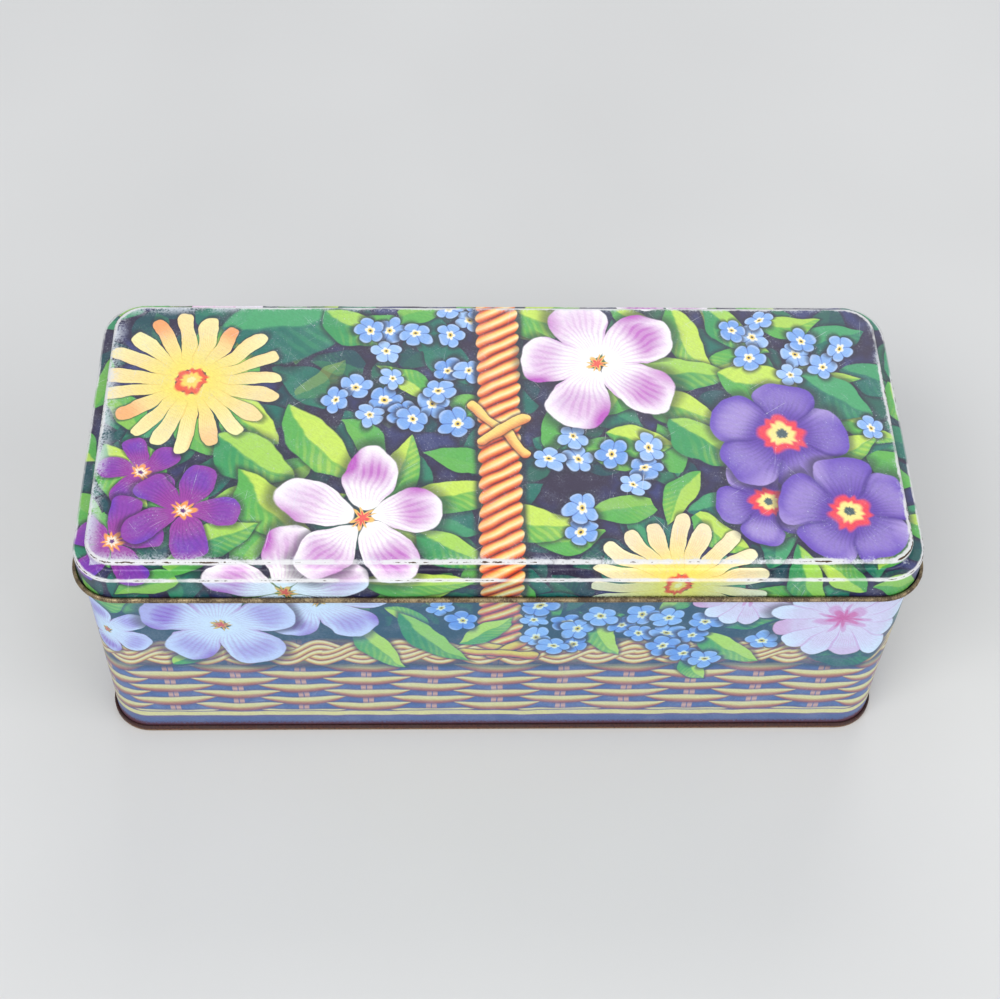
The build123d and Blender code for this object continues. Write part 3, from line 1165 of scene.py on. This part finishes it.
def wicker(paint, place, drawn):
    """Basket side: stakes in blue shade, two interleaved sets of strands, a braid and a foot strip."""
    steady = steadied(paint, place, drawn, WICKER_WAVER)
    x, y, _ = paint.split(steady)
    depth, _ = paint.noise(place, 0.3, 2.0)
    colour = paint.mix(depth, tint(74, 98, 146), tint(102, 132, 180))
    stake = abs(abs(paint.fraction(x / COLUMN + 0.5) - 0.5) * COLUMN - STAKE_OFFSET)
    colour = paint.mix(paint.ramp(stake, 1.0, 0.7), colour, tint(232, 170, 154))
    for shift in (0.0, 0.5):
        colour = stamp(paint, WEAVE, Under=colour, Place=steady, Shift=shift)
    shadow = paint.ramp(y, RIM_LOW - 4.5, RIM_LOW - 0.5) * 0.8
    colour = paint.mix(shadow, colour, tint(46, 78, 110))
    colour = rim_braid(paint, x, y, colour)
    colour = paint.mix(paint.ramp(y, RIM_HIGH - 0.5, RIM_HIGH + 2.0), colour, tint(38, 80, 106))

    strip = paint.ramp(abs(y - STRIP_HEIGHT), 1.5, 1.1)
    colour = paint.mix(paint.ramp(y, STRIP_HEIGHT + 2.4, STRIP_HEIGHT + 1.4), colour, tint(124, 104, 148))
    colour = paint.mix(paint.ramp(y, STRIP_HEIGHT - 1.8, STRIP_HEIGHT - 2.8), colour, tint(96, 110, 152))
    return paint.mix(strip, colour, tint(250, 222, 154))


def repeated(marks, x_at):
    """Marks with a copy one picture to each side, so that none is cut at the picture's ends.

    `x_at` is where a mark's x stands in its record.
    """
    shifts = (-WALL_REPEAT, 0, WALL_REPEAT)
    return [(*mark[:x_at], mark[x_at] + shift, *mark[x_at + 1:]) for mark in marks for shift in shifts]


def wall_artwork(paint, place, tile):
    """Basket side with flowers hanging over its rim, drawn once for each half of the way round."""
    way, height, _ = paint.split(place)
    folded = (paint.fraction(way / WALL_REPEAT + 0.5) - 0.5) * WALL_REPEAT
    flat = paint.join(folded, height)
    drawn = warped(paint, flat)
    open_drawn = warped(paint, place)

    def above_rim(home):
        """Shows the leaves whose cell lies above the basket's rim."""
        _, level, _ = paint.split(home)
        return paint.ramp(level, LEAVES_FROM, LEAVES_FROM + 1)

    colour = wicker(paint, place, open_drawn)
    if tile.y_range[1] <= BARE_WICKER:
        return colour
    for tints, cell, slender, seed in ((DEEP, 19, 0.6, 1.4), (TEAL, 22, 0.5, 2.9), (BRIGHT, 20, 0.42, 4.4)):
        colour = scatter_leaves(paint, colour, open_drawn, tints, cell, slender, seed, shown=above_rim)
    if tile.reached(0, RIM_HIGH, ROPE_HALF_WIDTH):
        shown = paint.ramp(height, ROPE_FOOT, ROPE_FOOT + 1)
        colour = add_rope(paint, colour, steadied(paint, flat, drawn, ROPE_WAVER), shown)
        for start, run in WALL_CORDS:
            colour = add_cord(paint, colour, drawn, start, run)
    colour = add_leaves(paint, colour, drawn, tile, repeated(WALL_LEAVES, 1))
    colour = add_posies(paint, colour, drawn, tile, repeated(WALL_POSIES, 0))
    return add_blooms(paint, colour, drawn, tile, repeated(WALL_BLOOMS, 1))


# ---------------------------------------------------------------- age, wear and painted light

DEEPEST_TEAL = tint(46, 90, 112)    # nothing on the wall is printed darker
BLUE_REFLECTED_SHADE = tint(204, 231, 246)      # painted shade and reflection: the wall and the lid's skirt are darkened and tinted bluer than the top, standing in for blue light reflected from a blue table
BARE_METAL = tint(84, 62, 46)
BARE_TIN = tint(176, 160, 132)
UNDERCOAT = tint(226, 226, 226)
TOP_WEAR = 0.9                      # reach of the wear beside the raised top's edge
SHOULDER_WEAR = 0.5


def way_to(line, inset, height):
    """How far along a sheet's middle line its nearest point to a place is."""
    along = 0.0
    found = []
    for before, after in zip([line[0]] + line, line):
        along += (after - before).length
        found.append(((after - Vector((-inset, height))).length, along))
    return min(found)[1]


LID_TOP_EDGE = way_to(LID_LINE, LEDGE_WIDTH, HEIGHT)
LID_SHOULDER = way_to(LID_LINE, 0, LEDGE_TOP)
LID_CURL_START = way_to(LID_LINE, 0, LID_FOOT)
WALL_CURL_START = way_to(WALL_LINE, WALL_MIDDLE, WALL_RIM - WALL_CURL_DIAMETER / 2)
PLAIN_HEIGHT = 20.0                 # anywhere on the straight wall
WALL_PRINT_HEIGHT = PLAIN_HEIGHT - way_to(WALL_LINE, WALL_MIDDLE, PLAIN_HEIGHT)
SEAM_FOOT = way_to(BASE_LINE, (CHUCK_MIDDLE + SEAMING_MIDDLE) / 2, 0)

# Runs of scratches, as (turn, seed, length, pitch, rarity)
LID_SCRATCHES = ((35, 1.0, 17.0, 4.0, 0.7), (-52, 7.0, 12.0, 3.5, 0.75), (82, 3.0, 21.0, 6.0, 0.75))
WALL_SCRATCHES = ((12, 5.0, 17.0, 5.0, 0.8), (64, 9.0, 13.0, 4.0, 0.86))


def scratches(paint, place, turn, seed, length, pitch, rarity):
    """Sparse fine straight scratches running one way."""
    spot = paint.local(place, (seed, seed * 2, 0), (0, 0, math.radians(turn)), (length, pitch, 1))
    _, dice, middle = paint.cells(spot, 1.0)
    x, y, _ = paint.split(paint.vector("SUBTRACT", spot, middle))
    chance, thickness, _ = paint.split(dice)
    line = paint.ramp(abs(y + x * 0.05), 0.006 + 0.02 * thickness, 0.0)
    return line * paint.ramp(abs(x), 0.4, 0.1) * paint.ramp(chance, rarity, rarity + 0.15)


def all_scratches(paint, place, runs):
    marks = scratches(paint, place, *runs[0])
    for run in runs[1:]:
        marks = paint.most(marks, scratches(paint, place, *run))
    return marks


def worn_edge(paint, sheet, edge, corner, reach):
    """White undercoat and bare metal along one bend. Returns (undercoat share, bare share)."""
    way, along, _ = paint.split(sheet)
    away = abs(along - edge)
    ragged, _ = paint.noise(paint.join(way, along * 2.5), 0.42, 4.0, 0.65)
    patchy, _ = paint.noise(paint.join(way, edge), 0.05, 3.0, 0.6)
    width = reach * (0.6 + 0.7 * paint.ramp(ragged * 0.4 + patchy * 0.6, 0.36, 0.68)) + corner * reach * 0.3
    undercoat = paint.ramp(away, width + 0.35, width - 0.25)
    undercoat = undercoat * (0.45 + 0.55 * paint.ramp(patchy + corner * 0.1, 0.38, 0.5))
    bare_width = reach * 0.4 * paint.ramp(ragged * 0.5 + patchy * 0.5 + corner * 0.1, 0.5, 0.68)
    return undercoat, paint.ramp(away, bare_width + 0.05, bare_width - 0.1)


def pencil_grain(paint, place, colour):
    """Crayon-like stroke texture of the printed picture."""
    strokes, _ = paint.noise(paint.local(place, (0, 0, 0), (0, 0, 0.9), (0.55, 2.4, 1)), 0.9, 3.0, 0.6)
    mottle, _ = paint.noise(place, 1.4, 2.0, 0.6)
    level = 0.78 + 0.54 * (strokes * 0.6 + mottle * 0.4)
    return paint.mix(1.0, colour, paint.grey(level), "MULTIPLY")


def finish_surface(paint, colour, roughness, metallic, height, bump=0.25, bump_depth=0.12 * MM):
    """Closes a material: principled surface with bump from a height."""
    surface = paint.node("BsdfPrincipled")
    paint.feed(surface.inputs["Base Color"], colour)
    paint.feed(surface.inputs["Roughness"], roughness)
    paint.feed(surface.inputs["Metallic"], metallic)
    relief = paint.node("Bump", {"Strength": bump, "Distance": bump_depth, "Height": height})
    paint.feed(surface.inputs["Normal"], relief.outputs[0])
    output = paint.node("OutputMaterial")
    paint.feed(output.inputs["Surface"], surface.outputs[0])


def new_material(name):
    """An empty material and its painter."""
    material = bpy.data.materials.new(name)
    material.use_nodes = True
    material.node_tree.nodes.clear()
    return material, Paint(material.node_tree)


def lid_print_material(tile):
    """The lid's picture under lacquer, hazed, scratched, and worn white along its two edges, with a painted
    highlight inside the raised top's edge and painted blue reflected shade on the skirt.
    """
    material, paint = new_material(tile.name)
    place = paint.map_of("Print")
    sheet = paint.map_of("Sheet")
    corner = Num(paint, paint.node("Attribute", attribute_name="corner").outputs["Fac"])
    x, y, _ = paint.split(place)
    _, along, _ = paint.split(sheet)
    colour = pencil_grain(paint, place, lid_artwork(paint, place, tile))
    on_skirt = paint.ramp(along, LID_SHOULDER - 0.5, LID_SHOULDER + 1.5)
    # Painted shade and reflection: the skirt is darkened and tinted blue, standing in for light reflected
    # from a blue table.
    colour = paint.mix(on_skirt, colour, BLUE_REFLECTED_SHADE, "MULTIPLY")

    from_edge = paint.least(HALF_LENGTH - abs(x), HALF_WIDTH - abs(y)) - LEDGE_WIDTH
    cloudy, _ = paint.noise(place, 0.11, 4.0, 0.65)
    fine, _ = paint.noise(place, 1.3, 3.0, 0.7)
    haze = paint.ramp(cloudy * 0.6 + fine * 0.4, 0.44, 0.72)
    colour = paint.mix(haze * 0.12, colour, tint(198, 206, 226))
    # Partly haze, partly painted highlight: a whitish band just inside the raised top's edge, wider towards
    # the left end, standing in for the edge catching light.
    left_end = paint.ramp(x, -70.0, -138.0)
    edge_haze_and_highlight = paint.ramp(from_edge, 3.0 + left_end * 3.0, 0.0) * paint.ramp(from_edge, -0.6, -0.2)
    edge_haze_and_highlight = edge_haze_and_highlight * paint.ramp(cloudy * 0.5 + fine * 0.5 + left_end * 0.09, 0.46, 0.62)
    colour = paint.mix(edge_haze_and_highlight * 0.85, colour, tint(222, 228, 236))

    marks = all_scratches(paint, place, LID_SCRATCHES)
    specks = paint.ramp(fine, 0.68, 0.74) * paint.ramp(cloudy, 0.5, 0.62)
    marks = paint.most(marks * paint.ramp(cloudy, 0.42, 0.62), specks)
    colour = paint.mix(marks * 0.85, colour, tint(226, 230, 238))

    top_coat, top_bare = worn_edge(paint, sheet, LID_TOP_EDGE, corner, TOP_WEAR)
    low_coat, low_bare = worn_edge(paint, sheet, LID_SHOULDER, corner, SHOULDER_WEAR)
    rub = paint.ramp(along, LID_CURL_START - 1.6, LID_CURL_START - 0.4)
    undercoat = paint.most(top_coat, low_coat)
    bare = paint.most(paint.most(top_bare, low_bare), rub * paint.ramp(fine, 0.4, 0.6) * 0.8)
    colour = paint.mix(undercoat * 0.92, colour, UNDERCOAT)
    colour = paint.mix(bare, colour, BARE_METAL)
    roughness = 0.34 + haze * 0.2 + undercoat * 0.12 + bare * 0.12 + marks * 0.15
    height = fine * 0.25 + cloudy * 0.5 - undercoat * 0.4 - bare * 0.5
    finish_surface(paint, colour, roughness, bare * 0.6, height)
    return material


SHADOW_AND_RUB_HEIGHT = LID_FOOT - 1.8      # just below the lid's curl: a darker brown band, partly a painted shadow cast by the lid and partly rub marks where the curl rubs the wall
RUST_TOP = 7.4


def wall_print_material(tile):
    """The basket's side under lacquer, darkened and tinted blue by painted reflected shade, with a painted
    shadow and rub marks below the lid, and rusting above the double seam.
    """
    material, paint = new_material(tile.name)
    place = paint.map_of("Print")
    corner = Num(paint, paint.node("Attribute", attribute_name="corner").outputs["Fac"])
    way, height, _ = paint.split(place)
    colour = paint.mix(1.0, wall_artwork(paint, place, tile), DEEPEST_TEAL, "LIGHTEN")
    # Painted shade and reflection: the whole wall is darkened and tinted blue, standing in for light
    # reflected from a blue table.
    colour = paint.mix(1.0, colour, BLUE_REFLECTED_SHADE, "MULTIPLY")
    colour = pencil_grain(paint, place, colour)
    cloudy, _ = paint.noise(place, 0.09, 4.0, 0.65)
    fine, _ = paint.noise(place, 1.1, 3.0, 0.7)
    haze = paint.ramp(cloudy * 0.6 + fine * 0.4, 0.42, 0.72)
    colour = paint.mix(haze * 0.14, colour, tint(190, 196, 214))
    marks = all_scratches(paint, place, WALL_SCRATCHES) * paint.ramp(cloudy, 0.42, 0.6)
    colour = paint.mix(marks * 0.6, colour, tint(214, 214, 220))
    # Partly painted shadow, partly rub marks: a patchy darker brown band just below the lid's curl.
    lid_shadow_and_rub = paint.ramp(abs(height - SHADOW_AND_RUB_HEIGHT), 1.6, 0.2) * paint.ramp(fine, 0.35, 0.6)
    colour = paint.mix(lid_shadow_and_rub * 0.5, colour, tint(120, 92, 70))
    rust = paint.ramp(RUST_TOP - height + (fine - 0.5) * 4.0 + corner * 1.2, 0.5, 3.4)
    colour = paint.mix(rust * 0.88, colour, tint(98, 50, 50))
    roughness = 0.36 + haze * 0.15 + rust * 0.25 + marks * 0.1
    bare_join = paint.ramp(abs(way - LOCK_SEAM_WAY), 0.75, 0.45)
    colour = paint.mix(bare_join * 0.85, colour, BARE_TIN)
    relief = fine * 0.25 + cloudy * 0.5 + rust * fine * 0.6
    finish_surface(paint, colour, roughness, rust * 0.15 + bare_join * 0.7, relief)
    return material


def lacquer_material(name, curl_start):
    """Gold-lacquered tinplate, tarnished where the sheet is curled to the outside."""
    material, paint = new_material(name)
    sheet = paint.map_of("Sheet")
    place = paint.map_of("Print")
    _, along, _ = paint.split(sheet)
    cloudy, _ = paint.noise(place, 0.12, 4.0, 0.6)
    fine, _ = paint.noise(place, 1.6, 3.0, 0.7)
    brushed, _ = paint.noise(paint.local(place, (0, 0, 0), (0, 0, 0), (14.0, 0.4, 1)), 1.0, 3.0, 0.6)
    colour = paint.mix(paint.ramp(cloudy, 0.3, 0.7), tint(206, 172, 104), tint(184, 146, 84))
    colour = paint.mix(paint.ramp(fine, 0.62, 0.78) * 0.5, colour, tint(120, 84, 52))
    curled = paint.ramp(along, curl_start - 0.5, curl_start + 0.5)
    tarnish = paint.ramp(cloudy * 0.55 + fine * 0.45, 0.36, 0.6)
    curl_colour = paint.mix(tarnish, tint(164, 146, 112), tint(84, 68, 54))
    colour = paint.mix(curled, colour, curl_colour)
    roughness = 0.27 + brushed * 0.14 + curled * (0.08 + 0.2 * tarnish)
    finish_surface(paint, colour, roughness, 0.9 - curled * tarnish * 0.35, fine * 0.5 + brushed * 0.4)
    return material


def base_outside_material():
    """Dull lacquered underside, rusting where it is rolled into the double seam."""
    material, paint = new_material("base_outside")
    sheet = paint.map_of("Sheet")
    place = paint.map_of("Print")
    _, along, _ = paint.split(sheet)
    cloudy, _ = paint.noise(place, 0.08, 5.0, 0.65)
    fine, _ = paint.noise(place, 1.2, 4.0, 0.7)
    plate = paint.mix(paint.ramp(cloudy, 0.3, 0.7), tint(176, 160, 130), tint(140, 122, 98))
    spots = paint.ramp(cloudy * 0.4 + fine * 0.6, 0.56, 0.66)
    plate = paint.mix(spots * 0.8, plate, tint(104, 62, 42))
    seam = paint.ramp(along, SEAM_FOOT - 2.2, SEAM_FOOT - 0.8)
    rust = paint.mix(paint.ramp(fine, 0.35, 0.68), tint(62, 34, 32), tint(112, 62, 46))
    rust = paint.mix(paint.ramp(cloudy, 0.45, 0.62) * 0.5, rust, tint(74, 58, 52))
    shaded = paint.ramp(along, SEAM_FOOT + 1.6, SEAM_FOOT + 3.2)
    rust = paint.mix(shaded * 0.6, rust, tint(44, 26, 30))
    worn_foot = paint.ramp(abs(along - SEAM_FOOT - 1.0), 0.6, 0.25) * paint.ramp(fine, 0.3, 0.48)
    rust = paint.mix(worn_foot * 0.85, rust, tint(160, 126, 88))
    colour = paint.mix(seam, plate, rust)
    roughness = 0.42 + spots * 0.3 + seam * (0.16 - worn_foot * 0.2)
    metallic = 0.75 - spots * 0.5 - seam * (0.4 - worn_foot * 0.4)
    finish_surface(paint, colour, roughness, metallic, fine * 0.9 + cloudy * 0.3, 0.4, 0.2 * MM)
    return material


# ---------------------------------------------------------------- pieces

NO_CURL = 1e6      # further along than any sheet reaches

# Stations stand closer together at the lock seam
LOCK_LEFT = -3.2
LOCK_RIGHT = 4.0
LOCK_STEP = 0.2
LOCK_STEPS = round((LOCK_RIGHT - LOCK_LEFT) / LOCK_STEP)
LOCK_PLACES = [round(LOCK_LEFT + LOCK_STEP * step, ROUNDING) for step in range(LOCK_STEPS + 1)]


def lid_tile_at(x, y):
    return tile_number(LID_TILES, x, y)


def wall_tile_at(way, height):
    folded = (way / WALL_REPEAT + 0.5) % 1.0 - 0.5
    return tile_number(WALL_TILES, folded * WALL_REPEAT, height)


def place_piece(piece, node, body):
    """Has a piece stand for its CAD node and ride on its body."""
    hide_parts(node)
    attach(piece, body)


def build_lid():
    sheet = SheetMesh(
        LID_FACES, stations(), lid_shape, on_panel=True, tile_at=lid_tile_at, tiles=len(LID_TILES))
    materials = [lid_print_material(tile) for tile in LID_TILES]
    materials.append(lacquer_material("lid_lacquer", LID_CURL_START))
    place_piece(sheet.build("lid_pressing", materials), "lid", "lid")


def build_wall():
    sheet = SheetMesh(
        WALL_FACES, stations(LOCK_PLACES), wall_shape, on_panel=False, print_height=WALL_PRINT_HEIGHT,
        tile_at=wall_tile_at, tiles=len(WALL_TILES),
    )
    materials = [wall_print_material(tile) for tile in WALL_TILES]
    materials.append(lacquer_material("wall_lacquer", WALL_CURL_START))
    place_piece(sheet.build("body_sheet", materials), "body_wall", "tin")


def build_base():
    sheet = SheetMesh(BASE_FACES, stations(), base_shape, on_panel=True)
    materials = [base_outside_material(), lacquer_material("inside_lacquer", NO_CURL)]
    place_piece(sheet.build("base_pressing", materials), "base_panel", "tin")


# ---------------------------------------------------------------- studio

# The photo's view, from a fit to the tin's outlines, in metres
CAMERA_TARGET = Vector((0.0014, 0.0009, 0.060))
CAMERA_DISTANCE = 0.6521
CAMERA_PITCH = math.radians(53.64)     # below the horizon
CAMERA_YAW = math.radians(3.26)
CAMERA_ROLL = math.radians(2.62)
CAMERA_LENS = 65.05
SENSOR_WIDTH = 36.0

# Soft lights, as (name, place, width, power)
LIGHTS = (
    ("key", (-0.7, -0.9, 1.5), 1.1, 16),
    ("fill", (1.1, -0.7, 1.0), 1.2, 7),
    ("back", (0.2, 1.3, 1.2), 1.2, 7),
    ("front", (0.25, -1.5, 0.35), 0.9, 5),
)
LIT_POINT = Vector((0, 0, 0.05))
FLOOR_HALF_WIDTH = 4.0
SKY = (0.9, 0.93, 1.0, 1)
SKY_STRENGTH = 0.45


def add_object(name, data):
    """A new object in the scene."""
    made = bpy.data.objects.new(name, data)
    bpy.context.scene.collection.objects.link(made)
    return made


def build_camera():
    data = bpy.data.cameras.new("camera")
    data.lens = CAMERA_LENS
    data.sensor_width = SENSOR_WIDTH
    data.clip_start = 0.01
    camera = add_object("camera", data)
    turn = Euler((0, 0, -CAMERA_YAW)).to_matrix() @ Euler((math.pi / 2 - CAMERA_PITCH, 0, 0)).to_matrix()
    turn = turn @ Euler((0, 0, CAMERA_ROLL)).to_matrix()
    place = CAMERA_TARGET + turn @ Vector((0, 0, CAMERA_DISTANCE))
    camera.matrix_world = Matrix.Translation(place) @ turn.to_4x4()
    bpy.context.scene.camera = camera


def build_light(name, place, width, power):
    data = bpy.data.lights.new(name, "AREA")
    data.shape = "RECTANGLE"
    data.size = width
    data.size_y = width * 0.7
    data.energy = power
    light = add_object(name, data)
    light.location = place
    light.rotation_euler = (LIT_POINT - Vector(place)).to_track_quat("-Z", "Y").to_euler()


def build_floor():
    bm = bmesh.new()
    bmesh.ops.create_grid(bm, x_segments=2, y_segments=2, size=FLOOR_HALF_WIDTH)
    mesh = bpy.data.meshes.new("floor")
    bm.to_mesh(mesh)
    bm.free()
    material, paint = new_material("floor")
    coordinates = paint.node("TexCoord").outputs["Object"]
    mottle, _ = paint.noise(coordinates, 6.0, 2.0)
    colour = paint.mix(mottle, tint(214, 214, 212), tint(222, 222, 220))
    finish_surface(paint, colour, 0.7, 0.0, mottle, 0.05)
    mesh.materials.append(material)
    add_object("floor", mesh)


def build_studio():
    build_floor()
    for light in LIGHTS:
        build_light(*light)
    world = bpy.data.worlds.new("studio")
    world.use_nodes = True
    background = world.node_tree.nodes["Background"]
    background.inputs["Color"].default_value = SKY
    background.inputs["Strength"].default_value = SKY_STRENGTH
    bpy.context.scene.world = world
    bpy.context.scene.view_settings.view_transform = "Standard"


build_lid()
build_wall()
build_base()
build_camera()
build_studio()
